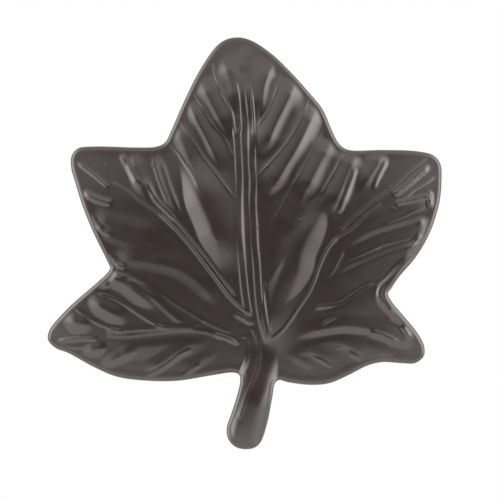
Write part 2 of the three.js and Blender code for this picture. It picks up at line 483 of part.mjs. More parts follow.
// one closed skin: veined face, rolled edge, back
const position = [];
const index = [];
const put = (p) => position.push(p[0], -p[2], p[1]) / 3 - 1;
const frontIds = front.pts.map(put);
for (const [a, b, c] of front.faces) index.push(frontIds[a], frontIds[b], frontIds[c]);
const rearIds = rear.pts.map(put);
for (const [a, b, c] of rear.faces) index.push(rearIds[a], rearIds[c], rearIds[b]);
const rowIds = rows.map((ring, k) => {
  if (k === 0) return frontIds.slice(0, EDGE_SAMPLES);
  if (k === rows.length - 1) return rearIds.slice(0, EDGE_SAMPLES);
  return ring.map(put);
});
for (let k = 0; k + 1 < rows.length; k++) {
  for (let i = 0; i < EDGE_SAMPLES; i++) {
    const j = (i + 1) % EDGE_SAMPLES;
    const [a, b, c, d] = [rowIds[k][i], rowIds[k][j], rowIds[k + 1][j], rowIds[k + 1][i]];
    index.push(a, b, c, a, c, d);
  }
}
const skin = new THREE.BufferGeometry();
skin.setAttribute("position", new THREE.Float32BufferAttribute(position, 3));
skin.setIndex(index);

const wasm = await Module();
wasm.setup();

function solid(geometry) {
  const bare = geometry.clone();
  bare.deleteAttribute("normal");
  bare.deleteAttribute("uv");
  const joined = mergeVertices(bare, 1e-4);
  const mesh = new wasm.Mesh({
    numProp: 3,
    vertProperties: Float32Array.from(joined.attributes.position.array),
    triVerts: Uint32Array.from(joined.index.array),
  });
  return new wasm.Manifold(mesh);
}

// a turned solid about the Y axis at height z; the profile gives radius and distance from the drawer
function turned(profile, z) {
  const points = profile.map(([r, y]) => new THREE.Vector2(r, y)).reverse();
  const geometry = new THREE.LatheGeometry(points, POST_SIDES);
  geometry.rotateX(Math.PI);
  geometry.translate(0, 0, z);
  return solid(geometry);
}

function post(z) {
  const seat = back(0, z);
  const root = [[ROOT_RADIUS + ROOT_FILLET, seat + SUNK], [ROOT_RADIUS + ROOT_FILLET, seat + 0.05]];
  for (const turn of [20, 45, 70]) {
    const a = THREE.MathUtils.degToRad(turn);
    root.push([ROOT_RADIUS + ROOT_FILLET * (1 - Math.sin(a)), seat + 0.05 - ROOT_FILLET * (1 - Math.cos(a))]);
  }
  const outer = [
    [0, seat + SUNK],
    ...root,
    [ROOT_RADIUS, seat - ROOT_FILLET],
    [FOOT_RADIUS, FOOT_CHAMFER],
    [FOOT_RADIUS - FOOT_CHAMFER, 0],
    [0, 0],
  ];
  return turned(outer, z);
}

function bore(z) {
  return turned([
    [0, TAP_DEPTH + TAP_RADIUS * 0.58],
    [TAP_RADIUS, TAP_DEPTH],
    [TAP_RADIUS, MOUTH],
    [TAP_RADIUS + MOUTH, 0],
    [TAP_RADIUS + MOUTH, -1],
    [0, -1],
  ], z);
}

let casting = solid(skin);
for (const z of [-CENTRES / 2, CENTRES / 2]) casting = casting.add(post(z));
for (const z of [-CENTRES / 2, CENTRES / 2]) casting = casting.subtract(bore(z));

const made = casting.getMesh();
const body = new THREE.BufferGeometry();
body.setAttribute("position", new THREE.BufferAttribute(Float32Array.from(made.vertProperties), made.numProp));
body.setIndex(new THREE.BufferAttribute(Uint32Array.from(made.triVerts), 1));
body.computeVertexNormals();

const lacquer = new THREE.MeshStandardMaterial({ color: 0x4b423f, roughness: 0.34, metalness: 0.45 });
const leaf = new THREE.Mesh(body, lacquer);
leaf.name = "leaf_casting";

const pull = new THREE.Group();
pull.name = "leaf_pull";
pull.add(leaf);
export default pull;
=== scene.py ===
"""Leaf shaped pull: the looks of the casting and the plain studio around it. Lengths are in millimetres
until a mesh is made, then metres. The veined face looks towards -Y, +Z is up, the drawer front is y = 0."""

import bpy
import numpy as np
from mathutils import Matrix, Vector, geometry, kdtree


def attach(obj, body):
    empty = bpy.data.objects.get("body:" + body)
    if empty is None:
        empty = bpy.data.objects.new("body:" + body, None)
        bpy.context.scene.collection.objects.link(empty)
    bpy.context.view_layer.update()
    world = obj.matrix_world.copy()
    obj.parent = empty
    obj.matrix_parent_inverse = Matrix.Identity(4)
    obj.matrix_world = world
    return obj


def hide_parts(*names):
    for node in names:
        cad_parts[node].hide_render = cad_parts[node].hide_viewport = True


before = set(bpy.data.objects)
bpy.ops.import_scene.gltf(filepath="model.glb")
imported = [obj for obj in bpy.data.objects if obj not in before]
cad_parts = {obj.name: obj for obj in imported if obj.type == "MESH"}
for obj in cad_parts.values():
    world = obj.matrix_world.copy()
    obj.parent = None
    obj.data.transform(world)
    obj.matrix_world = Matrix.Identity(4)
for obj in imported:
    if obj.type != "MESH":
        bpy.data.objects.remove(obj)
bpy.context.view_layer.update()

# sizes of the casting, in millimetres, as in the solid
PROJECTION = 25.0
BLADE = 3.0
ARCH = 3.4  # the lobes bend back by this much at REACH from the middle
TIP_BEND = 0.3  # and the tips by this much more
REACH = 38.0
EDGE_ROLL = 0.8
BACK_ROLL = 0.6
EDGE_DRAFT = 0.15
CENTRES = 32.0
FOOT_RADIUS = 4.2
ROOT_RADIUS = 4.8
ROOT_FILLET = 1.8
FOOT_CHAMFER = 0.4
TAP_RADIUS = 1.65
TAP_DEPTH = 12.0
MOUTH = 0.6
SUNK = 1.2  # how far a post root reaches into the blade
SEAT = 0.05  # the fillet of a post begins this far inside the back of the blade
DRILL_POINT = 0.58  # depth of the drill point, as a part of its radius

# small shapes of the posts that the solid leaves out; the thread is drawn as closed grooves
NECK = 0.3  # the fillet has run out this far below its own radius
CHAMFER_BREAK = 0.3  # middle of the foot chamfer, from the sharp corner, as a part of its width
THREAD_PITCH = 0.7
THREAD_RADIUS = 2.0
THREAD_FREE = 2.0  # length without thread at the bottom of the bore

# the lines: how they begin and end, measured along them, and their sections
CREST_END = 1.2
BANK_END = 1.2
BANK_SIDE = 0.2  # half the width of a bar's sloping side
PLEAT_START = 5.0
PLEAT_END = 3.0
PLEAT_SHARE = 0.4  # a short pleat rises and sinks over no more than this part of its length
PLEAT_NARROW = 0.4  # part of its width a pleat keeps at its ends
FOLD_SOFT = 0.2  # rounding of a fold, as a part of its height
FLANK_END = 9.0
FLANK_NARROW = 0.2
STALK_START = 1.0
STALK_FULL = 13.0
STALK_POWER = 3.4  # section of the crown: 1 less this power of the way to its side
STALK_LIFT = 0.75  # the crown rises by this much more, from LIFT_START to LIFT_BEYOND past its end
LIFT_START = 8.0
LIFT_BEYOND = 2.0

# the edge: a low rim all round, a raised wall along it at the right, and the relief fades out towards it
RIM_LIFT = 0.02
RIM_WIDTH = 2.0
RIM_FOOT = (-31.0, -27.0)  # the rim fades out between these in z, down the stalk
CUP_LIFT = 0.55
CUP_NEAR = 0.9
CUP_FAR = 2.1
CUP_LEFT = (20.0, 26.0)  # the wall grows between these in x
CUP_TOP = (-8.0, -3.0)  # and fades out between these in z at its two ends
CUP_FOOT = (-19.0, -12.0)
BAY = (26.4, -11.0)  # the wall reaches further in round this place
BAY_REACH = 4.5
BAY_DEPTH = 0.9
FADE_IN = 0.6
FADE_FULL = 1.8
SHOULDER_DROP = 0.5  # both shoulders of the top lobe lie lower by this much
SHOULDER_RISE = (5.0, 17.0)  # from none to all between these in z
SHOULDER_OUT = (9.0, 15.0)  # and between these in x, on both sides
NOTCH = (27.0, -9.9)  # at the right notch the side of the blade stands out a little behind the rolled edge
NOTCH_REACH = 1.9
NOTCH_FLARE = 0.4

# how finely the surfaces are divided
EDGE_SAMPLES = 1250
ROLL_STEPS = 6
FACE_STEP = 0.24
ROW_STEP = 0.26
ROW_CLEAR = 0.13  # least distance between places of the rows
EDGE_CLEAR = 0.62  # distance of the face places from the edge, as a part of FACE_STEP
GRID_CLEAR = 0.7  # and of the even grid from the rows
FOLD_ROW = 0.2  # distance of the rows beside a fold
NUDGE = 0.07  # how far the places of the grid are moved, as a part of their distance
BACK_STEP = 1.1
BACK_CLEAR = 0.6  # distance of the back's places from its edge, as a part of BACK_STEP
POST_SIDES = 96
PATH_STEP = 0.5  # spans of the lines
EDGE_FINE = 1500  # spans of the outline where distances from it are measured
SHARP = np.radians(40.0)  # edges of the posts that turn by more than this are sharp

# Outline in x and z, clockwise from the tip
OUTLINE = [
    [-1.2, 36.7], [1.2, 36.1], [4.85, 33.7], [8.5, 30.2], [11.9, 26.4], [14.4, 23.3], [16.2, 19.2],
    [17.3, 17.1], [18.4, 16.1], [19.8, 15.7], [25.6, 15.8], [32, 15.56], [35, 14.8], [36.3, 13.2],
    [36.5, 10], [36, 5.6], [34.2, 0.2], [31.6, -4.2], [28.6, -7.7], [27.6, -9.1], [26.5, -10.8],
    [27.1, -12.2], [29.6, -15.2], [32.1, -18.3], [33.3, -20.7], [33.2, -22.5], [31.6, -23.8], [29, -23.8],
    [25.5, -23.6], [22.8, -24.2], [19.2, -26], [15.6, -27.5], [12.2, -27.8], [8, -27.3], [6.3, -26.9],
    [5.6, -27.4], [5.06, -30.1], [4.1, -35], [2.9, -38.4], [1.8, -39.4], [0, -39.7], [-1.9, -39.2],
    [-3.2, -37.6], [-3.4, -35.7], [-2.6, -33.2], [-1.4, -29.4], [-0.9, -27], [-1.1, -25.9], [-2.3, -25.5],
    [-6, -26], [-12.7, -27.05], [-18.7, -27], [-23.8, -26.3], [-27.9, -24.6], [-32.9, -21.9], [-35.2, -21],
    [-36.6, -19.5], [-36.4, -17.8], [-33.4, -14.1], [-27.9, -9.2], [-25.6, -7.1], [-25, -6.1], [-25.3, -5.3],
    [-28, 0.2], [-30, 5], [-31.4, 9.4], [-32.3, 12.6], [-32.2, 14.7], [-31, 16.1], [-28, 16.45],
    [-20, 16.25], [-16.4, 16.4], [-14.8, 17.2], [-13.7, 19.3], [-11.7, 23.9], [-8.5, 30.4], [-5.3, 35.05],
    [-3.5, 36.3],
]

# Thin raised lines: height, half width, points
CRESTS = [
    # midrib above the place where its left bank begins
    [0.13, 0.36, [[-1.75, 28.6], [-1.2, 25.4], [-0.95, 21.5], [-0.8, 18.5]]],
    [0.1, 0.36, [[1.6, 18], [1.6, 22], [1.2, 26.5]]],
    # upper left main vein
    [0.11, 0.3, [[-13.5, 3.5], [-10.9, 0.4], [-8.9, -2.1],
        [-6.9, -4.4], [-4.9, -7.1], [-3.4, -9.1], [-1.5, -11.3]]],
    [0.08, 0.34, [[-25, 9.9], [-22, 8.3], [-19, 6], [-16, 4], [-13.5, 1.8]]],
    [0.15, 0.34, [[-16, 4], [-12.5, 0.7], [-10, -2.2], [-6, -7.5], [-2.5, -11.9], [0.4, -14.4]]],
    [0.18, 0.45, [[-31.2, 13.5], [-28.8, 11.7], [-26.8, 10.1], [-25, 8.6]]],
    # right main vein
    [0.13, 0.36, [[4.9, -19.4], [7, -17.5], [8.5, -15.5], [10.2, -13], [11.6, -11],
        [12.8, -8.5], [13.5, -6.5], [14.5, -4], [15.8, -1.8], [17.3, -0.3]]],
    [0.07, 0.36, [[15.8, -1.8], [17.3, -0.3], [19.4, 0.9], [22.8, 3.9], [25.5, 6]]],
    [0.1, 0.6, [[18.3, -2.5], [17, -5], [15.5, -8]]],
    [0.07, 0.4, [[17, 0], [18.5, 1.8], [22, 5], [27, 8.6], [31, 12.3], [34, 14.5]]],
    [0.4, 0.75, [[27.2, 7.3], [29.5, 8.85], [31, 10.15], [32.5, 11.5], [34.2, 12.9]]],
    [0.13, 0.38, [[28.7, 6], [30, 7.2], [31.5, 8.5], [33.5, 9.7], [35.4, 11]]],
    [0.36, 0.7, [[27.6, 5.8], [31.5, 6.6], [33.5, 7.1], [35, 7.4]]],
    # lower left main vein
    [0.05, 0.6, [[-26, -18.5], [-22, -18.6], [-18, -18.2], [-14, -17.8],
        [-10, -17.6], [-7, -17.9], [-4.5, -18.7], [-2.6, -19.4], [-0.8, -20]]],
    [0.1, 0.8, [[-26, -17.8], [-20, -17.5], [-14, -17.1], [-9, -17]]],
    [0.2, 0.5, [[-6, -18.3], [-3.3, -19.1], [-1, -20.2]]],
    [0.22, 0.46, [[-34.8, -19.65], [-32, -19.25], [-30, -19.15], [-27.2, -19.35]]],
    # hub and stalk
    [0.06, 0.5, [[0.6, -18], [1.2, -21.3], [1, -23.4], [0.4, -24.8], [-0.6, -26]]],
    [0.1, 0.5, [[1, -16.6], [2, -18.5], [2.6, -21], [2.5, -24],
        [1.5, -27], [0.4, -29.5], [-0.4, -32], [-1.3, -34.4]]],
    [0.14, 0.5, [[3.5, -8], [3.9, -12], [4.3, -15], [4.8, -18.2]]],
    [0.18, 0.7, [[-2.2, -14.2], [-0.6, -15.2], [0.8, -16], [1.9, -16.4]]],
    # side veins of the top lobe
    [0.05, 0.3, [[2.2, 19.8], [3.2, 21.4], [4.2, 22.8], [5.2, 25.3], [6.4, 28.4], [7.1, 30.8]]],
    [0.05, 0.3, [[2.3, 10.8], [4.1, 12.8], [6.1, 15], [8, 17.4], [10, 20.7], [11.3, 24], [11.9, 25.9]]],
    [0.04, 0.3, [[3.4, -1], [5, 2], [8, 7.5], [11.7, 14.3], [13, 17], [14.9, 20.2]]],
    [0.12, 0.34, [[13.9, 7.2], [15.5, 10], [16.8, 12.2], [18.2, 15.4]]],
    [0.13, 0.36, [[-1.95, 17.5], [-2.1, 20], [-2.5, 22.5],
        [-3.3, 24.6], [-4.3, 26.6], [-5.3, 29], [-6.1, 32.1]]],
    [0.08, 0.32, [[-2.2, 14], [-3.4, 17.1], [-5, 19.6], [-7.5, 23.2], [-10, 26.9]]],
    [0.06, 0.32, [[-2.1, 7], [-4, 9.5], [-6, 12.2],
        [-7.6, 14.2], [-9.6, 17.2], [-11.3, 20], [-12.5, 21.6]]],
    [0.07, 0.36, [[-8.4, 8.4], [-9.8, 11.3], [-11, 13], [-12.9, 15.7], [-14.5, 17]]],
    # side veins of the upper left lobe
    [0.24, 0.8, [[-18.6, 10.4], [-17.4, 8.2], [-16.5, 6.6], [-15, 5], [-12.6, 2.6]]],
    [0.04, 0.36, [[-17.2, 14.8], [-16.6, 12], [-15.5, 8.7], [-14.2, 5.8]]],
    [0.22, 0.85, [[-23, 15.1], [-21.5, 12.5], [-20.5, 10.6], [-19.7, 9.2]]],
    [0.28, 1, [[-30.2, 8.1], [-28.5, 7.1], [-26.5, 6.3], [-24.4, 5.8]]],
    [0.18, 0.5, [[-28.8, 3.8], [-28.2, 2.4], [-27.3, 1.3], [-26, 0.5], [-24.6, 0]]],
    [0.05, 0.4, [[-25.2, -3.3], [-23, -3.4], [-20, -4.3]]],
    [0.32, 0.7, [[-25.3, -3.3], [-24.5, -4.6], [-23.4, -5.6], [-21.8, -6.1]]],
    [0.18, 0.42, [[-24.8, -7], [-22.2, -7.8]]],
    [0.04, 0.5, [[-21.5, -8.2], [-17, -10], [-13, -12.6], [-8, -15.6], [-4, -17.5], [-2.3, -18]]],
    # side veins of the lower left lobe
    [0.09, 1, [[-22.3, -8.1], [-19.3, -9.7], [-16.8, -11.6], [-14.3, -14], [-11.3, -16.5]]],
    [0.26, 0.8, [[-27.6, -9.7], [-26.2, -9.2], [-24.8, -9.3]]],
    [0.12, 0.5, [[-27.5, -10.7], [-24, -11.9], [-21.5, -13.3],
        [-18.5, -15.3], [-16, -16.8], [-14.4, -17.3]]],
    [0.1, 0.45, [[-31.8, -13.6], [-30.5, -14.3], [-28, -15.9], [-26, -16.8], [-22.3, -18.3]]],
    [0.06, 0.45, [[-33.5, -20.7], [-31, -20.8], [-27.5, -20.5]]],
    [0.13, 0.55, [[-18.5, -26.3], [-15.9, -25], [-13.9, -23.7], [-12.4, -22.5], [-9.7, -21]]],
    [0.14, 0.6, [[-12.7, -26.9], [-10.9, -25.8], [-9.4, -24.6], [-8.1, -23.8]]],
    # side veins of the right lobe, and the hooks at its rim and at that of the lower right lobe
    [0.34, 0.8, [[33.9, 8.4], [34.3, 6.8], [34.3, 4.8]]],
    [0.14, 0.8, [[32.3, 3.5], [32.6, 2.4], [32.5, 1.4]]],
    [0.12, 0.6, [[13, -13.4], [17.4, -12.7], [19.5, -11.4], [22, -9.8], [24, -8.9]]],
    [0.24, 0.95, [[32.8, 0.4], [32, -1], [30.9, -2.2], [29.8, -3.1]]],
    [0.28, 0.8, [[26.3, -13], [27.3, -14.6], [28.1, -16.2]]],
    [0.36, 0.9, [[29, -16.4], [30.1, -18], [30.8, -19.4]]],
    [0.24, 1, [[22.8, -18], [25.2, -18.6], [27.2, -19.5], [28.6, -20.2]]],
    # one more hook, of the upper left lobe
    [0.18, 0.8, [[-28.6, 4], [-28, 2.7], [-27.1, 1.5], [-26, 0.7]]],
    # short lines of the right lobe
    [0.23, 0.6, [[17.2, 3.7], [18, 5.6], [18.9, 7.9], [19.7, 10.1], [20.5, 12.6]]],
    [0.2, 0.55, [[23.7, 8.3], [24.6, 10.6], [25.4, 12.2], [26.4, 14.1]]],
    [0.06, 0.36, [[25.6, 2.1], [29, 3.3], [30.5, 4], [32, 4.7], [33.8, 5.3]]],
    [0.04, 0.42, [[18, -5], [22.5, -3.2], [25, -2], [29.5, -0.8], [32.2, -0.3]]],
    [0.1, 0.4, [[12.8, -14.1], [14.5, -12.1]]],
    # side veins of the lower right lobe
    [0.1, 0.4, [[13.8, -16.7], [15.5, -15.8], [17.3, -14.8]]],
    [0.1, 0.36, [[12.5, -22.5], [14, -23.2], [15, -23.8], [16.2, -24.6]]],
    [0.12, 0.6, [[19, -21.6], [20.2, -22.3], [21.7, -23.2]]],
]

# Flat topped bars: height, half width, points
BANKS = [
    [0.15, 0.64, [[-1.5, 20], [-1.25, 15], [-1.05, 10], [-1.12, 6],
        [-1, 1], [-0.65, -4], [-0.2, -9], [0.25, -12.5], [0.75, -15.4]]],
    [0.15, 0.64, [[0.5, 28.2], [0.8, 25], [1.2, 21], [1.25, 16], [1.3, 13], [1.5, 10], [1.4, 6],
        [1.65, 1.5], [1.8, -2], [2.1, -5], [2.35, -9], [2.7, -13], [3, -15], [3.7, -18], [4.4, -20]]],
]

# Pleats: height, width of the gentle side, width of the steep side, bend of the steep side, points, hand.
# Seen along the points, the steep side is on the right where hand is -1 and on the left where it is 1.
PLEATS = [
    # top lobe, right half
    [0.66, 5, 1.9, 1.8, [[2.6, 20.6], [3.1, 23.5], [3.4, 26], [3.9, 28.5], [4.9, 30.8], [5.6, 32]], -1],
    [0.86, 5, 3, 1.9, [[3.6, 13.6], [4.9, 18.3], [6.2, 21.3], [7.7, 24.3], [9, 27.2], [9.6, 28.6]], -1],
    [0.68, 5, 2.6, 1.9, [[3.8, 6.5], [6, 9.8], [8, 13.3],
        [10.3, 17], [11.8, 20], [13, 22.5], [13.6, 23.8]], -1],
    [0.24, 4.6, 2, 1.6, [[5.9, -0.9], [8.4, 3], [11.2, 8]], -1],
    [0.66, 4.6, 3, 1.6, [[9.8, 5.6], [12, 9.4], [13.1, 11.4], [14.4, 14], [15.4, 15.8], [16.3, 17.6]], -1],
    # top lobe, left half
    [0.68, 4.5, 2.4, 1.4, [[-2.1, 22], [-2.2, 25.5], [-2.6, 28.6], [-3.6, 31.2], [-4.3, 33]], 1],
    [0.62, 6, 2.4, 1.5, [[-2.7, 17.4], [-3.9, 19.9], [-5.2, 22.4], [-6.7, 25.3], [-8.4, 28.9]], 1],
    [0.36, 3.4, 1.5, 1.7, [[-4.05, 11.2], [-5.45, 14.2], [-7.05, 17.6], [-8.85, 21], [-10.6, 24.7]], 1],
    [0.22, 4, 1.6, 1.2, [[-6.1, 5.4], [-7.6, 8.4], [-9.3, 12],
        [-10.6, 14.6], [-12, 17.8], [-13.2, 20.2]], 1],
    # upper left lobe
    [0.32, 2.4, 1, 1.8, [[-11.2, 2.1], [-12.6, 5.5], [-13.8, 8.5], [-14.9, 11.9], [-16.2, 15.2]], -1],
    [0.34, 2.8, 1.7, 1.3, [[-17.5, 5.7], [-19.6, 9.6], [-20.6, 13], [-21, 15.4]], 1],
    [0.24, 3.5, 2, 1.3, [[-14.4, -0.6], [-18, 0.1], [-22, 1.1], [-25.5, 2.1], [-28.4, 3.7]], 1],
    [0.17, 3, 1.4, 1.3, [[-14.4, -3], [-18, -2.3], [-22, -1.3], [-25.2, -0.2], [-27.5, 1.1]], 1],
    [0.22, 4, 2, 1.3, [[-4.9, -13.5], [-7.4, -10.1], [-9, -8.5],
        [-12.3, -6.4], [-17.4, -5.1], [-21.6, -4.4], [-24.2, -3.3]], 1],
    # lower left lobe
    [0.36, 3, 2, 1.3, [[-16.1, -14.1], [-18.1, -12.5],
        [-20.5, -10.5], [-23.1, -8.7], [-25.3, -8.3], [-26.6, -9]], 1],
    [0.42, 3, 1.8, 1.4, [[-21.8, -16.5], [-23.9, -15.2],
        [-26.3, -13.8], [-28.3, -12.6], [-29.6, -12.2]], 1],
    [0.34, 2.5, 2, 1.2, [[-28, -17], [-31, -16.5], [-33, -16.1], [-34, -16.3]], 1],
    [0.24, 2.4, 1.3, 1.4, [[-19.3, -21.3], [-22.1, -22.3], [-24.3, -23.3], [-26.7, -24.7]], 1],
    [0.2, 2.2, 1.3, 1.3, [[-9.1, -20], [-12.4, -21.8], [-14.4, -23.2], [-16.4, -24.4], [-18.5, -25.6]], 1],
    [0.1, 1.5, 2.6, 1.2, [[-6, -20.1], [-12, -20.3], [-18, -20.7], [-24, -20.9]], 1],
    [0.06, 2.2, 1.1, 1.3, [[-4.7, -21.5], [-7.8, -23.3], [-9.5, -24.3], [-11.9, -25.9]], 1],
    [0.24, 1.8, 1.4, 1.2, [[-25.2, -20.9], [-27.4, -21.3], [-30.2, -22.1]], 1],
    # right lobe
    [0.58, 4.5, 2.4, 1.3, [[15.2, 3], [16.9, 6.3], [18, 8.8], [18.9, 10.9], [19.8, 13], [20.7, 15.8]], -1],
    [0.42, 3.6, 1.9, 1.3, [[21, 7.4], [22.8, 10.3], [24, 12], [25.1, 13.9], [26, 16]], -1],
    [0.25, 6, 1.1, 1.4, [[17.8, -3.4], [20, -2.1], [22.6, -0.7],
        [25, 0.3], [28, 1.2], [31, 2.1], [34.6, 3.2]], 1],
    [0.24, 6, 1.1, 1.4, [[15.4, -8.6], [19.5, -6.4], [22, -5.2],
        [24.5, -4.2], [27, -3.2], [29.5, -2.4], [33.6, -1.3]], 1],
    [0.2, 7, 1.1, 1.4, [[14, -14.5], [17.7, -13.4], [19.7, -12],
        [22.2, -10.4], [24.2, -9.5], [26.2, -8.4]], 1],
    [0.1, 2, 1.6, 1.2, [[20, 1.4], [23, 2.8], [26, 4], [29, 5], [32, 5.6], [34.6, 5.8]], 1],
    # lower right lobe
    [0.18, 2.6, 1.2, 1.3, [[9, -19.3], [12.8, -17.9], [15.5, -17.4], [18, -17.1], [20.5, -17.2],
        [23, -17.5], [25.5, -18.1], [27.6, -19.1], [29.6, -20.2], [31.6, -20.6]], -1],
    [0.09, 1.3, 4, 1.2, [[9, -21.6], [12.8, -20.5], [15.5, -19.9], [18, -19.6],
        [20.3, -19.8], [22.3, -20.4], [24.4, -21], [26.2, -22], [28, -23]], -1],
    [0.07, 2.4, 1, 1.2, [[8.6, -22.1], [11.8, -21.8], [14.4, -22.9], [16.8, -24.5]], -1],
    [0.08, 2.4, 1.1, 1.2, [[16, -20.1], [18.8, -20.6], [20.8, -21.7], [22.6, -23.1]], -1],
    [0.07, 2.4, 1.3, 1.2, [[7.2, -22], [9.3, -22.7], [11.2, -23.8], [13, -25.2]], -1],
    # the midrib fades out in two steps at the tip
    [0.2, 3, 1, 1, [[-0.5, 29.5], [-0.3, 35.4]], 1],
]

# Long flanks beside the main veins and the midrib: height, width of the gentle side, width of the flank,
# points, hand. They narrow and sink towards both ends.
FLANKS = [
    [1.05, 9, 3, [[-4.1, -8], [-4.6, -5], [-5.2, -2], [-6.2, 1.2],
        [-7.7, 4.9], [-9.4, 8.4], [-11, 11.5], [-12, 13.6]], 1],
    [0.72, 5.5, 3, [[7, -13], [8.9, -9.8], [9.8, -6.7], [10.2, -3.7],
        [11.4, -0.6], [13.2, 2.2], [14.4, 5.2], [15.2, 7.4]], -1],
    [0.46, 6, 1.9, [[4.1, -23], [4.4, -18.5], [4.8, -14.5],
        [5.4, -11], [6.2, -8], [7.1, -5.5], [8, -3.4]], 1],
]

# Crown of the stalk: height, half width where it leaves the hub and at its end, points
STALK = [1.8, 3.1, 4, [[3.1, -19], [2.8, -24], [2.3, -26.5], [1.8, -29],
    [1, -32], [0.2, -35.5], [-0.3, -38], [-0.4, -39]]]

# Specks of dust under the lacquer, x and z
SPECKS = [
    [-12.7, -1.6], [5.5, 9], [4.2, 12.8], [1.7, 15.5], [10.2, 2.7], [-22.2, -7.7], [17.4, -20.9],
    [13.6, -17.8], [-1.75, 6.8], [-7.6, -16], [-8.9, -16.6], [2.6, 1.3], [16.4, 3.4], [-0.2, -18.8],
    [-5.5, -0.8], [17.6, 1.2], [22.2, 11.5], [26.8, 8.9], [27.5, 4.9], [-25.6, 12.9], [-17.2, 12.8],
    [24.6, -2.4], [8.9, 9.6],
]
SPECK_HEIGHT = 0.07
SPECK_WIDTH = 0.36


def ease(low, high, t):
    """0 below low, 1 above high, a smooth cubic between."""
    u = np.clip((t - low) / (high - low), 0.0, 1.0)
    return u * u * (3.0 - 2.0 * u)


def bell(t):
    """Raised cosine: 1 at 0, 0 from -1 and from 1 outwards."""
    return np.where(np.abs(t) < 1.0, 0.5 + 0.5 * np.cos(np.pi * np.clip(t, -1.0, 1.0)), 0.0)


def smooth_line(points, closed=False, per=24):
    """Centripetal Catmull-Rom curve through the points: in each span a Hermite cubic of the parameter whose
    end slopes come from the neighbours, weighted by the square roots of the distances."""
    p = np.array(points, float)
    if closed:
        p = np.vstack([p[-1:], p, p[:2]])
    else:
        p = np.vstack([2 * p[0] - p[1], p, 2 * p[-1] - p[-2]])
    u = np.linspace(0.0, 1.0, per, endpoint=False)[:, None]
    out = []
    for a, b, c, d in zip(p[:-3], p[1:-2], p[2:-1], p[3:]):
        s0, s1, s2 = (np.sqrt(np.hypot(*(q - r))) for q, r in ((b, a), (c, b), (d, c)))
        m1 = ((b - a) / s0 - (c - a) / (s0 + s1) + (c - b) / s1) * s1
        m2 = ((c - b) / s1 - (d - b) / (s1 + s2) + (d - c) / s2) * s1
        out.append(b + m1 * u + (3 * (c - b) - 2 * m1 - m2) * u**2 + (2 * (b - c) + m1 + m2) * u**3)
    out.append(p[-2][None, :])
    return np.vstack(out)


def spaced(line, count):
    """count + 1 places at equal distances along a line of points."""
    run = np.concatenate([[0.0], np.cumsum(np.hypot(*np.diff(line, axis=0).T))])
    at = np.linspace(0.0, run[-1], count + 1)
    return np.column_stack([np.interp(at, run, line[:, k]) for k in (0, 1)])


def path(points):
    """A smooth line through the points, cut into short equal spans."""
    line = smooth_line(points)
    length = np.hypot(*np.diff(line, axis=0).T).sum()
    return spaced(line, max(6, int(np.ceil(length / PATH_STEP))))


def nearest(line, x, z, reach):
    """For the places within reach of the line: which they are, signed distance (positive on the left of its
    direction), distance along it and its whole length."""
    low, high = line.min(0) - reach, line.max(0) + reach
    pick = np.nonzero((x > low[0]) & (x < high[0]) & (z > low[1]) & (z < high[1]))[0]
    px, pz = x[pick], z[pick]
    best = np.full(len(pick), 1e9)
    side = np.ones(len(pick))
    along = np.zeros(len(pick))
    run = 0.0
    for a, b in zip(line[:-1], line[1:]):
        ux, uz = b - a
        span = np.hypot(ux, uz)
        t = np.clip(((px - a[0]) * ux + (pz - a[1]) * uz) / (span * span), 0.0, 1.0)
        gap = np.hypot(px - a[0] - t * ux, pz - a[1] - t * uz)
        near = gap < best
        best = np.where(near, gap, best)
        side = np.where(near, np.sign(ux * (pz - a[1]) - uz * (px - a[0])), side)
        along = np.where(near, run + t * span, along)
        run += span
    return pick, best, side, along, run


def ends(along, length, first, last):
    """0 at both ends of a line, 1 from first after its start to last before its end."""
    return ease(0.0, first, along) * ease(0.0, last, length - along)


edge = smooth_line(OUTLINE, closed=True)
edge_fine = spaced(edge, EDGE_FINE)


def inside_distance(x, z, reach=4.0):
    """Distance to the outline, up to reach."""
    out = np.full(len(x), reach)
    order = np.argsort(x)
    sx = x[order]
    for a, b in zip(edge_fine[:-1], edge_fine[1:]):
        lo = np.searchsorted(sx, min(a[0], b[0]) - reach)
        hi = np.searchsorted(sx, max(a[0], b[0]) + reach)
        pick = order[lo:hi]
        pick = pick[np.abs(z[pick] - a[1]) < reach]
        ux, uz = b - a
        t = np.clip(((x[pick] - a[0]) * ux + (z[pick] - a[1]) * uz) / (ux * ux + uz * uz), 0.0, 1.0)
        out[pick] = np.minimum(out[pick], np.hypot(x[pick] - a[0] - t * ux, z[pick] - a[1] - t * uz))
    return out


def within(ring, x, z):
    """True where a place is inside the closed ring, by the number of sides crossed on the way out."""
    hit = np.zeros(len(x), bool)
    for (ax, az), (bx, bz) in zip(ring, np.roll(ring, 1, axis=0)):
        if az == bz:
            continue
        span = (az > z) != (bz > z)
        hit ^= span & (x < (bx - ax) * (z - az) / (bz - az) + ax)
    return hit


def arch(x, z):
    """Bend of the blade: less a square of the distance from the middle, and its sixth power for the tips."""
    out = np.hypot(x, z) / REACH
    return -ARCH * out**2 - TIP_BEND * out**6


def back(x, z):
    """Distance from the drawer front to the back of the blade: the arch, one thickness behind the face."""
    return PROJECTION - BLADE + arch(x, z)


def fold(across, gentle, steep, bend):
    """Section of a pleat: rises over gentle as half a cosine wave, falls over steep as a power of the way
    left to its foot, and the fold between is rounded by taking a smooth least of the two."""
    rise = np.where(across > 0.0, 1.0, bell(np.clip(across / gentle, -1.0, 0.0)))
    fall = np.where(across > 0.0, np.maximum(1.0 - across / steep, 0.0) ** bend, 1.0 - bend * across / steep)
    return np.maximum(0.5 * (rise + fall - np.hypot(rise - fall, FOLD_SOFT)), 0.0)


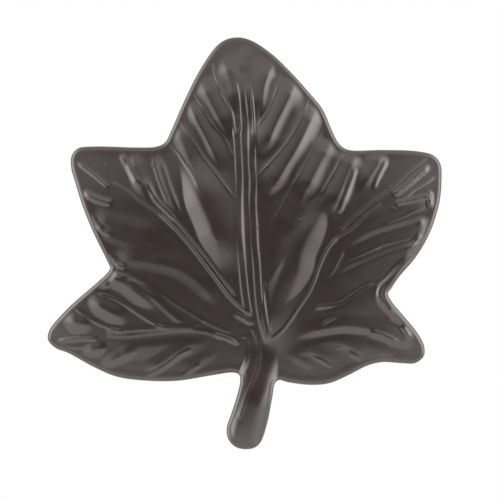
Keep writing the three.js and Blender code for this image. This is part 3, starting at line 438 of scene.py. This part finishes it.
def face(x, z):
    """Distance from the drawer front to the veined face: the arched blade, plus for each line a function of
    the distance from it. Crests and specks are raised cosines, bars have flat tops and smooth sides, pleats
    and flanks are folds. The crown of the stalk, the rim and the cup are added, and the drop of the shoulders
    is taken off."""
    relief = np.zeros(len(x))
    for height, width, points in CRESTS:
        pick, gap, _, along, length = nearest(path(points), x, z, width)
        relief[pick] += height * bell(gap / width) * ends(along, length, CREST_END, CREST_END)
    for height, width, points in BANKS:
        reach = width + BANK_SIDE
        pick, gap, _, along, length = nearest(path(points), x, z, reach)
        flat = 1.0 - ease(width - BANK_SIDE, reach, gap)
        relief[pick] += height * flat * ends(along, length, BANK_END, BANK_END)
    for height, gentle, steep, bend, points, hand in PLEATS:
        pick, gap, side, along, length = nearest(path(points), x, z, max(gentle, steep))
        short = PLEAT_SHARE * length
        full = ends(along, length, min(PLEAT_START, short), min(PLEAT_END, short))
        width = steep * (PLEAT_NARROW + (1.0 - PLEAT_NARROW) * full)
        relief[pick] += height * fold(gap * side * hand, gentle, width, bend) * full
    for height, gentle, steep, points, hand in FLANKS:
        pick, gap, side, along, length = nearest(path(points), x, z, max(gentle, steep))
        full = ends(along, length, FLANK_END, FLANK_END)
        width = steep * (FLANK_NARROW + (1.0 - FLANK_NARROW) * full)
        relief[pick] += height * fold(gap * side * hand, gentle, width, 1.0) * full
    for sx, sz in SPECKS:
        relief += SPECK_HEIGHT * bell(np.hypot(x - sx, z - sz) / SPECK_WIDTH)
    height, slim, broad, points = STALK
    pick, gap, _, along, length = nearest(path(points), x, z, broad)
    grown = ease(STALK_START, STALK_FULL, along)
    stalk = np.zeros(len(x))
    crown = height * grown + STALK_LIFT * ease(LIFT_START, length + LIFT_BEYOND, along)
    stalk[pick] = crown * np.maximum(1.0 - (gap / (slim + (broad - slim) * grown)) ** STALK_POWER, 0.0)
    inside = inside_distance(x, z)
    cupped = ease(*CUP_LEFT, x) * (1.0 - ease(*CUP_TOP, z)) * ease(*CUP_FOOT, z)
    bay = BAY_DEPTH * bell(np.hypot(x - BAY[0], z - BAY[1]) / BAY_REACH)
    rim = RIM_LIFT * (1.0 - ease(EDGE_ROLL, RIM_WIDTH, inside)) * ease(*RIM_FOOT, z)
    cup = CUP_LIFT * cupped * (1.0 - ease(CUP_NEAR, CUP_FAR, inside - bay))
    shoulder = SHOULDER_DROP * ease(*SHOULDER_RISE, z) * ease(*SHOULDER_OUT, np.abs(x))
    return PROJECTION + arch(x, z) + ease(FADE_IN, FADE_FULL, inside) * relief + stalk + rim + cup - shoulder


def feature_rows(ring, clear):
    """Rows of places along the crests, bars and folds, so that their sides are cut cleanly: each path at
    equal spacing, repeated at a few distances to the left and right of it."""
    sets = [(points, width * np.linspace(-1.0, 1.0, 5)) for _, width, points in CRESTS]
    sides, steps = np.array([-1, 1]).repeat(3), BANK_SIDE * np.tile([-1, 0, 1], 2)
    sets += [(points, sides * (width + steps)) for _, width, points in BANKS]
    sets += [(points, FOLD_ROW * np.array([-1.0, 0.0, 1.0])) for *_, points, _ in PLEATS + FLANKS]
    rows = []
    for points, offsets in sets:
        line = smooth_line(points)
        line = spaced(line, max(2, int(np.hypot(*np.diff(line, axis=0).T).sum() / ROW_STEP)))
        along = np.gradient(line, axis=0)
        along /= np.hypot(*along.T)[:, None]
        rows += [line + offset * np.column_stack([-along[:, 1], along[:, 0]]) for offset in offsets]
    places = np.vstack(rows)
    places = places[within(ring, places[:, 0], places[:, 1])]
    places = places[inside_distance(places[:, 0], places[:, 1]) > EDGE_ROLL + clear]
    return apart(places, places[:0], ROW_CLEAR)


def apart(places, fixed, least):
    """The places that keep at least that distance from the fixed ones and from those before them."""
    tree = kdtree.KDTree(len(fixed) + len(places))
    for i, (px, pz) in enumerate(np.vstack([fixed, places]).tolist()):
        tree.insert((px, pz, 0.0), i)
    tree.balance()
    kept = np.ones(len(fixed) + len(places), bool)
    for i, (px, pz) in enumerate(places.tolist(), len(fixed)):
        kept[i] = not any(j < i and kept[j] for _, j, _ in tree.find_range((px, pz, 0.0), least))
    return places[kept[len(fixed):]]


def filled(ring, step, clear):
    """Staggered rows of places inside a ring, at least clear away from it; each is nudged a little by sines
    of its row and column, so that no four lie on one circle."""
    low, high = ring.min(0), ring.max(0)
    rise = step * 0.8660254  # height of a triangle with three equal sides
    columns, rows = ((high - low) / (step, rise)).astype(int) + 2
    column, row = np.meshgrid(np.arange(columns), np.arange(rows))
    x = low[0] + (column + 0.5 * (row % 2) + NUDGE * np.sin(1.7 * column + 2.3 * row)) * step
    z = low[1] + (row + NUDGE * np.sin(2.9 * column - 1.3 * row)) * rise
    x, z = x.ravel(), z.ravel()
    keep = within(ring, x, z)
    x, z = x[keep], z[keep]
    far = np.ones(len(x), bool)
    for a in ring:
        near = np.abs(x - a[0]) < clear
        far[near] &= np.hypot(x[near] - a[0], z[near] - a[1]) >= clear
    return np.column_stack([x[far], z[far]])


def divided(ring, inner):
    """Triangles over the inside of a ring and the places in it. The lobed outline can't be swept as one grid
    of two parameters, so the even grid inside is joined to the ring by a Delaunay division."""
    places = np.vstack([ring, inner])
    count = len(ring)
    sides = [(i, (i + 1) % count) for i in range(count)]
    corners = [Vector(p) for p in places.tolist()]
    verts, _, faces, *_ = geometry.delaunay_2d_cdt(corners, sides, [], 1, 1e-7)
    verts = np.array([tuple(v) for v in verts])
    if len(verts) != len(places) or np.abs(verts - places).max() > 1e-4:
        raise RuntimeError("the division moved a place")
    tri = np.array(faces)
    a, b, c = (places[tri[:, k]] for k in range(3))
    turn = (b[:, 0] - a[:, 0]) * (c[:, 1] - a[:, 1]) - (c[:, 0] - a[:, 0]) * (b[:, 1] - a[:, 1])
    tri[turn < 0] = tri[turn < 0][:, ::-1]
    return places, tri


def strips(rows):
    """Two triangles for each cell between neighbouring closed rows of vertex numbers."""
    out = []
    for upper, lower in zip(rows[:-1], rows[1:]):
        nxt, low_next = np.roll(upper, -1), np.roll(lower, -1)
        out += [np.column_stack([upper, nxt, low_next]), np.column_stack([upper, low_next, lower])]
    return np.vstack(out)


def mesh_object(name, xyz, tri, material):
    """A smooth mesh object from millimetre vertices, faces outward."""
    mesh = bpy.data.meshes.new(name)
    mesh.vertices.add(len(xyz))
    mesh.vertices.foreach_set("co", (np.asarray(xyz, np.float64) * 0.001).astype(np.float32).ravel())
    mesh.loops.add(tri.size)
    mesh.loops.foreach_set("vertex_index", tri.astype(np.int32).ravel())
    mesh.polygons.add(len(tri))
    mesh.polygons.foreach_set("loop_start", np.arange(0, tri.size, 3, dtype=np.int32))
    mesh.update(calc_edges=True)
    mesh.validate()
    mesh.shade_smooth()
    mesh.materials.append(material)
    obj = bpy.data.objects.new(name, mesh)
    bpy.context.scene.collection.objects.link(obj)
    return obj


def blade(material):
    """The leaf: veined face, an edge swept round the outline as a grid of place round the edge and turn of
    the roll, and the arched back."""
    base = spaced(edge, EDGE_SAMPLES)[:-1]
    tangent = np.roll(base, -1, axis=0) - np.roll(base, 1, axis=0)
    tangent /= np.hypot(*tangent.T)[:, None]
    outward = np.column_stack([-tangent[:, 1], tangent[:, 0]])

    def ring(offset):
        return base + outward * np.reshape(offset, (-1, 1))

    first = ring(-EDGE_ROLL)
    clear = EDGE_CLEAR * FACE_STEP
    lines = feature_rows(first, clear)
    grid = apart(filled(first, FACE_STEP, clear), lines, GRID_CLEAR * FACE_STEP)
    places, face_tri = divided(first, np.vstack([lines, grid]))
    height = face(places[:, 0], places[:, 1])
    rim = height[:EDGE_SAMPLES]
    verts = [np.column_stack([places[:, 0], -height, places[:, 1]])]
    rows = [np.arange(EDGE_SAMPLES)]
    count = len(places)

    def add(r, y):
        nonlocal count
        verts.append(np.column_stack([r[:, 0], -y, r[:, 1]]))
        rows.append(np.arange(count, count + len(r)))
        count += len(r)

    for turn in np.radians(90.0 / ROLL_STEPS * np.arange(1, ROLL_STEPS + 1)):
        add(ring(-EDGE_ROLL + EDGE_ROLL * np.sin(turn)), rim - EDGE_ROLL * (1.0 - np.cos(turn)))
    flare = NOTCH_FLARE * bell(np.hypot(base[:, 0] - NOTCH[0], base[:, 1] - NOTCH[1]) / NOTCH_REACH)
    for turn in np.radians([0.0, 30.0, 60.0]):
        r = ring(flare - EDGE_DRAFT - BACK_ROLL * (1.0 - np.cos(turn)))
        add(r, back(r[:, 0], r[:, 1]) + BACK_ROLL * (1.0 - np.sin(turn)))
    last = ring(flare - EDGE_DRAFT - BACK_ROLL)
    places, back_tri = divided(last, filled(last, BACK_STEP, BACK_CLEAR * BACK_STEP))
    verts.append(np.column_stack([places[:, 0], -back(places[:, 0], places[:, 1]), places[:, 1]]))
    rows.append(np.arange(count, count + EDGE_SAMPLES))
    tri = np.vstack([face_tri, strips(rows), back_tri[:, ::-1] + count])
    return mesh_object("leaf_blade", np.vstack(verts), tri, material)


def post(name, z, material):
    """One tapped post: a profile of radius and distance from the drawer, turned about its axis, from the
    middle of its root over the outside to the foot and down the threaded bore to the drill point."""
    seat = float(back(0.0, z))
    turn = np.radians(np.linspace(0.0, 80.0, 9))
    wide = ROOT_RADIUS + ROOT_FILLET
    top = seat + SEAT
    broken = CHAMFER_BREAK * FOOT_CHAMFER
    profile = [[0.0, seat + SUNK], [wide, seat + SUNK], [wide, top]]
    profile += [[wide - ROOT_FILLET * np.sin(t), top - ROOT_FILLET * (1 - np.cos(t))] for t in turn[1:]]
    profile += [[ROOT_RADIUS, seat - ROOT_FILLET - NECK], [FOOT_RADIUS, FOOT_CHAMFER]]
    profile += [[FOOT_RADIUS - broken, broken], [FOOT_RADIUS - FOOT_CHAMFER, 0.0]]
    profile += [[TAP_RADIUS + MOUTH, 0.0]]
    depth = MOUTH
    while depth < TAP_DEPTH - THREAD_FREE:
        profile += [[TAP_RADIUS, depth], [THREAD_RADIUS, depth + 0.5 * THREAD_PITCH]]
        depth += THREAD_PITCH
    profile += [[TAP_RADIUS, depth], [TAP_RADIUS, TAP_DEPTH], [0.0, TAP_DEPTH + DRILL_POINT * TAP_RADIUS]]
    profile = np.array(profile)
    angle = np.linspace(0.0, 2.0 * np.pi, POST_SIDES, endpoint=False)
    body = profile[1:-1]
    x = body[:, :1] * np.cos(angle)
    y = np.repeat(-body[:, 1:], POST_SIDES, axis=1)
    height = body[:, :1] * np.sin(angle) + z
    verts = np.column_stack([x.ravel(), y.ravel(), height.ravel()])
    middles = np.array([[0.0, -profile[0, 1], z], [0.0, -profile[-1, 1], z]])
    rows = [np.arange(POST_SIDES) + k * POST_SIDES for k in range(len(body))]
    count = len(verts)
    first, last = rows[0], rows[-1]
    root = np.column_stack([np.full(POST_SIDES, count), np.roll(first, -1), first])
    bottom = np.column_stack([np.full(POST_SIDES, count + 1), last, np.roll(last, -1)])
    tri = np.vstack([strips(rows), root, bottom])[:, ::-1]
    obj = mesh_object(name, np.vstack([verts, middles]), tri, material)
    obj.data.set_sharp_from_angle(angle=SHARP)
    return obj


# the lacquer: colours, index, roughness from and to, scale and detail of its noises, depth in metres
DARK_BROWN = (0.0175, 0.0105, 0.0092, 1.0)
BROWN = (0.0235, 0.0145, 0.0128, 1.0)
INDEX = 1.9
ROUGHNESS = (0.2, 0.28)
TONE_NOISE = (130.0, 3.0)
GLOSS_NOISE = (420.0, 2.0)
PEEL_NOISE = (1900.0, 2.0)
PEEL_STRENGTH = 0.05
PEEL_DEPTH = 0.00006


def lacquer_texture():
    """Node group: a faint uneven tone, a small change of gloss, and the orange peel of sprayed lacquer as
    a normal."""
    group = bpy.data.node_groups.new("lacquer_texture", "ShaderNodeTree")
    tree = group.interface
    tree.new_socket("Vector", in_out="INPUT", socket_type="NodeSocketVector")
    tree.new_socket("Tone", in_out="OUTPUT", socket_type="NodeSocketFloat")
    tree.new_socket("Gloss", in_out="OUTPUT", socket_type="NodeSocketFloat")
    tree.new_socket("Normal", in_out="OUTPUT", socket_type="NodeSocketVector")
    nodes, links = group.nodes, group.links
    give = nodes.new("NodeGroupInput")
    take = nodes.new("NodeGroupOutput")

    def noise(scale, detail):
        n = nodes.new("ShaderNodeTexNoise")
        n.inputs["Scale"].default_value = scale
        n.inputs["Detail"].default_value = detail
        links.new(give.outputs["Vector"], n.inputs["Vector"])
        return n.outputs["Fac"]

    links.new(noise(*TONE_NOISE), take.inputs["Tone"])
    links.new(noise(*GLOSS_NOISE), take.inputs["Gloss"])
    peel = nodes.new("ShaderNodeBump")
    peel.inputs["Strength"].default_value = PEEL_STRENGTH
    peel.inputs["Distance"].default_value = PEEL_DEPTH
    links.new(noise(*PEEL_NOISE), peel.inputs["Height"])
    links.new(peel.outputs["Normal"], take.inputs["Normal"])
    return group


def lacquer(name):
    """Satin dark brown lacquer on a zinc casting: a dark ground, and a high index for the strong gloss."""
    material = bpy.data.materials.new(name)
    material.use_nodes = True
    nodes, links = material.node_tree.nodes, material.node_tree.links
    shader = nodes["Principled BSDF"]
    shader.inputs["Metallic"].default_value = 0.0
    shader.inputs["IOR"].default_value = INDEX
    where = nodes.new("ShaderNodeTexCoord")
    texture = nodes.new("ShaderNodeGroup")
    texture.node_tree = lacquer_texture()
    links.new(where.outputs["Object"], texture.inputs["Vector"])
    tone = nodes.new("ShaderNodeMix")
    tone.data_type = "RGBA"
    tone.inputs["A"].default_value = DARK_BROWN
    tone.inputs["B"].default_value = BROWN
    links.new(texture.outputs["Tone"], tone.inputs["Factor"])
    links.new(tone.outputs["Result"], shader.inputs["Base Color"])
    gloss = nodes.new("ShaderNodeMapRange")
    gloss.inputs["To Min"].default_value = ROUGHNESS[0]
    gloss.inputs["To Max"].default_value = ROUGHNESS[1]
    links.new(texture.outputs["Gloss"], gloss.inputs["Value"])
    links.new(gloss.outputs["Result"], shader.inputs["Roughness"])
    links.new(texture.outputs["Normal"], shader.inputs["Normal"])
    return material


# the studio, in metres
FLOOR_Z = -0.25
FLOOR_HALF = 0.8
FLOOR_GREY = 0.8
FLOOR_ROUGHNESS = 0.9
TENT_RADIUS = 1.5
TENT_SIDES = 96
TENT_RINGS = 46
TENT_POLE = 0.5  # degrees from the axis to the first ring
STRIP_HALF = 0.22  # half the length of the dim strip, as a part of a unit direction
TENT_ABOVE = 1.25  # how much the way up counts, against one sideways
TENT_BELOW = 0.7  # and the way down
TENT_RAMP = (0.03, 0.7, 0.045, 1.0)  # from and to, as parts of a unit direction, then the glow at both
SIDE_BOXES = (0.3, 0.9, 0.0, 2.6)  # the same for the way sideways
TENT_TINT = (1.0, 0.93, 0.94, 1.0)
MIDDLE = (0.000925, -0.024, -0.002775)  # the camera looks straight at this place
DISTANCE = 0.95
FIELD = 0.0925  # width of the view at that distance
SENSOR = 36.0  # millimetres


def floor_sheet():
    """The pale floor: one flat rectangle, facing up."""
    material = bpy.data.materials.new("pale_floor")
    material.use_nodes = True
    shader = material.node_tree.nodes["Principled BSDF"]
    shader.inputs["Base Color"].default_value = (FLOOR_GREY, FLOOR_GREY, FLOOR_GREY, 1.0)
    shader.inputs["Roughness"].default_value = FLOOR_ROUGHNESS
    mesh = bpy.data.meshes.new("floor")
    corners = [(-1, -1), (1, -1), (1, 1), (-1, 1)]
    mesh.from_pydata([(FLOOR_HALF * x, FLOOR_HALF * y, FLOOR_Z) for x, y in corners], [], [(0, 1, 2, 3)])
    mesh.materials.append(material)
    obj = bpy.data.objects.new("floor", mesh)
    bpy.context.scene.collection.objects.link(obj)


def tent_light():
    """The inside of the light tent: a dim strip across behind the camera, paler away from it, with a tall
    soft box on each side. Glow = a smooth ramp of the distance from the strip, where the way up counts more
    and the way down less, plus a smooth ramp of the way sideways."""
    material = bpy.data.materials.new("tent_light")
    material.use_nodes = True
    nodes, links = material.node_tree.nodes, material.node_tree.links
    nodes.clear()
    where = nodes.new("ShaderNodeTexCoord")
    unit = nodes.new("ShaderNodeVectorMath")
    unit.operation = "NORMALIZE"
    links.new(where.outputs["Object"], unit.inputs[0])

    parts = nodes.new("ShaderNodeSeparateXYZ")
    links.new(unit.outputs["Vector"], parts.inputs["Vector"])

    def maths(operation, one, other=0.0):
        node = nodes.new("ShaderNodeMath")
        node.operation = operation
        links.new(one, node.inputs[0])
        if isinstance(other, float):
            node.inputs[1].default_value = other
        else:
            links.new(other, node.inputs[1])
        return node.outputs["Value"]

    def ramp(value, near, far, start, stop):
        span = nodes.new("ShaderNodeMapRange")
        span.interpolation_type = "SMOOTHSTEP"
        span.inputs["From Min"].default_value = near
        span.inputs["From Max"].default_value = far
        span.inputs["To Min"].default_value = start
        span.inputs["To Max"].default_value = stop
        links.new(value, span.inputs["Value"])
        return span.outputs["Result"]

    sideways = maths("ABSOLUTE", parts.outputs["X"])
    beside = maths("MAXIMUM", maths("SUBTRACT", sideways, STRIP_HALF), 0.0)
    above, below = (maths("MULTIPLY", parts.outputs["Z"], pull) for pull in (TENT_ABOVE, -TENT_BELOW))
    upright = maths("MAXIMUM", above, below)
    gap = maths("SQRT", maths("ADD", maths("MULTIPLY", beside, beside), maths("MULTIPLY", upright, upright)))
    glow = maths("ADD", ramp(gap, *TENT_RAMP), ramp(sideways, *SIDE_BOXES))
    light = nodes.new("ShaderNodeEmission")
    light.inputs["Color"].default_value = TENT_TINT
    links.new(glow, light.inputs["Strength"])
    put = nodes.new("ShaderNodeOutputMaterial")
    links.new(light.outputs["Emission"], put.inputs["Surface"])
    return material


def tent(material):
    """Half a sphere round the camera's side of the object, a grid of angle round and angle from the axis."""
    around = np.linspace(0, 2 * np.pi, TENT_SIDES + 1)[:-1]
    turn, lean = np.meshgrid(around, np.radians(np.linspace(TENT_POLE, 90, TENT_RINGS)))
    x, y, z = np.sin(lean) * np.cos(turn), -np.cos(lean), np.sin(lean) * np.sin(turn)
    verts = TENT_RADIUS * np.column_stack([x.ravel(), y.ravel(), z.ravel()])
    rows = [np.arange(TENT_SIDES) + k * TENT_SIDES for k in range(TENT_RINGS)]
    mesh = bpy.data.meshes.new("tent")
    mesh.from_pydata(verts.tolist(), [], strips(rows).tolist())
    mesh.materials.append(material)
    obj = bpy.data.objects.new("tent", mesh)
    obj.visible_camera = False
    bpy.context.scene.collection.objects.link(obj)


finish = lacquer("satin_brown_lacquer")
pieces = [blade(finish), post("upper_post", CENTRES / 2, finish), post("lower_post", -CENTRES / 2, finish)]
for piece in pieces:
    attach(piece, "root")
    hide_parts("leaf_casting")

# studio: pale floor below the view, white surroundings, the light tent on the camera's side
floor_sheet()
tent(tent_light())

world = bpy.data.worlds.new("white_surroundings")
bpy.context.scene.world = world
world.use_nodes = True
world.node_tree.nodes["Background"].inputs["Color"].default_value = (1.0, 1.0, 1.0, 1.0)
world.node_tree.nodes["Background"].inputs["Strength"].default_value = 1.0

eye = bpy.data.cameras.new("camera")
eye.sensor_width = SENSOR
eye.lens = SENSOR * DISTANCE / FIELD
eye.clip_start = 0.05
eye.clip_end = 20.0
camera = bpy.data.objects.new("camera", eye)
camera.location = (MIDDLE[0], MIDDLE[1] - DISTANCE, MIDDLE[2])
camera.rotation_euler = (np.pi / 2, 0.0, 0.0)
bpy.context.scene.collection.objects.link(camera)
bpy.context.scene.camera = camera
bpy.context.scene.view_settings.view_transform = "Standard"
